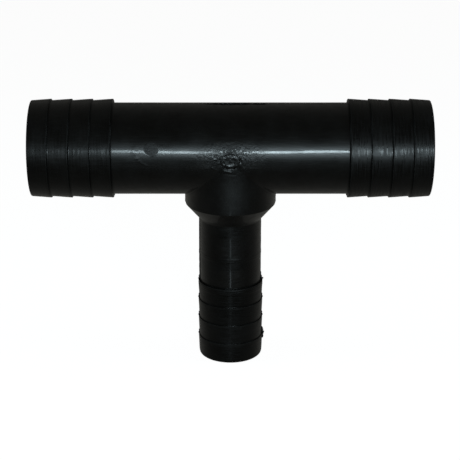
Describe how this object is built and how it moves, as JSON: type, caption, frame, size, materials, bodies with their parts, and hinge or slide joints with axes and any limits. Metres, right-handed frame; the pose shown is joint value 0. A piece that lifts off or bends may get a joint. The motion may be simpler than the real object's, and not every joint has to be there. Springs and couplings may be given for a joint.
{
  "type": "barbed tee connector",
  "caption": "Black plastic reducing tee with saw-tooth hose barbs on both ends of the run and on a smaller branch, open right through.",
  "frame": {"origin": "the point where the run's axis and the branch's axis cross", "axes": "+X along the run, -Z along the branch to its open end, -Y out of the front face that carries the trimmed gate"},
  "size_m": [0.161, 0.04, 0.11],
  "materials": {
    "black_plastic": "carbon-black injection-moulded plastic, satin as moulded, duller and finely ringed on the barbs"
  },
  "bodies": {
    "root": {"run_tube": "black_plastic", "left_hose_tail": "black_plastic", "right_hose_tail": "black_plastic", "branch_collar": "black_plastic", "reducer_cone": "black_plastic", "branch_tube": "black_plastic", "branch_hose_tail": "black_plastic"}
  },
  "joints": []
}
